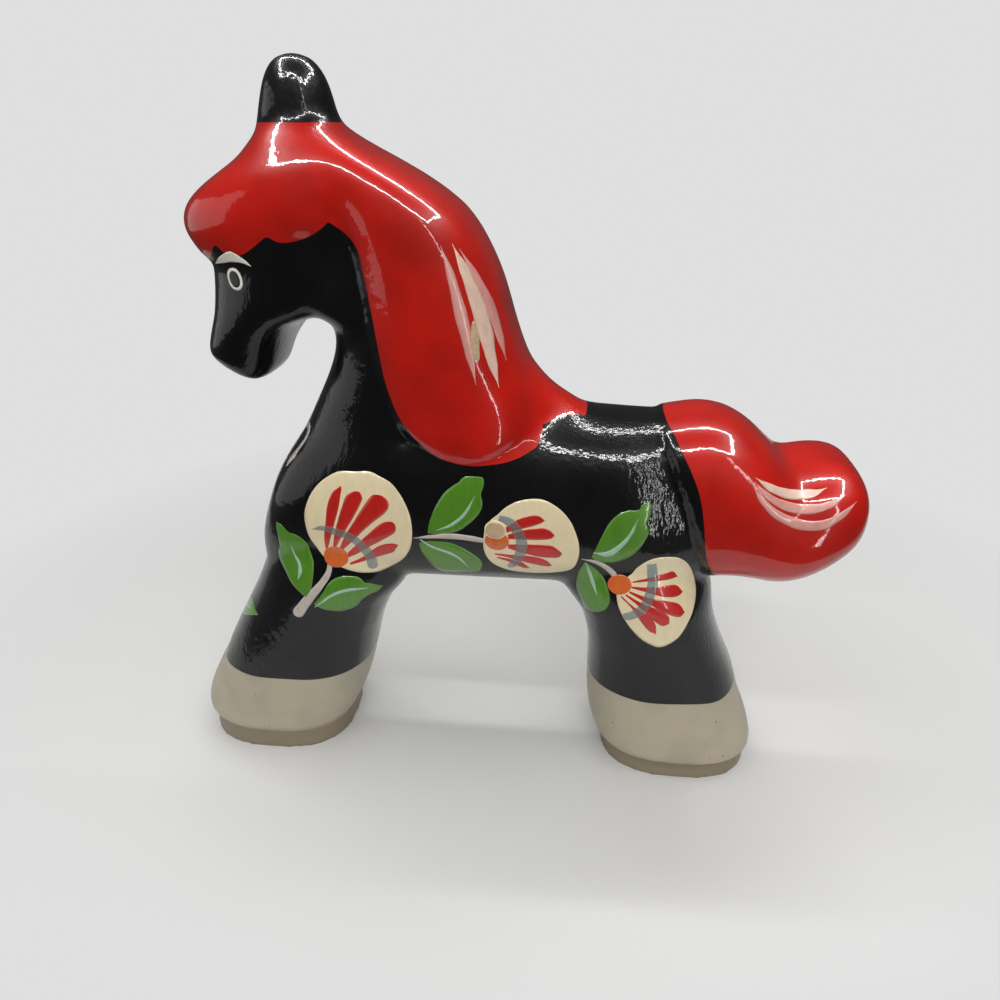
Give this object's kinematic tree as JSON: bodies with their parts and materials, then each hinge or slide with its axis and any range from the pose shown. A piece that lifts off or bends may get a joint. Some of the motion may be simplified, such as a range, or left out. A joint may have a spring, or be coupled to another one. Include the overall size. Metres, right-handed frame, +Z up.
{
  "type": "wooden horse figurine",
  "caption": "Painted wooden horse figurine that stands on its hooves, carved from glued and dowelled blocks with each pair of legs as one block, with a full mane, a forelock cap, an ear knob and a plume tail.",
  "frame": {"origin": "on the standing plane, under the middle of the figure's box", "axes": "+Z up, -X the way the head points, -Y the horse's left side"},
  "size_m": [0.189, 0.0442, 0.1895],
  "materials": {
    "black_lacquer": "gloss black lacquer over limewood",
    "red_lacquer": "gloss red lacquer over limewood",
    "bare_wood": "bare limewood and birch dowel, no paint"
  },
  "bodies": {
    "root": {"forequarter": "black_lacquer", "barrel": "black_lacquer", "hindquarter": "black_lacquer", "neck": "black_lacquer", "head": "black_lacquer", "ear_knob": "black_lacquer", "mane_left": "red_lacquer", "mane_right": "red_lacquer", "forelock": "red_lacquer", "tail": "red_lacquer", "fore_dowels": "bare_wood", "hind_dowels": "bare_wood", "neck_dowels": "bare_wood", "head_dowels": "bare_wood", "forelock_dowel": "bare_wood", "tail_dowels": "bare_wood", "mane_pins": "bare_wood"}
  },
  "joints": []
}
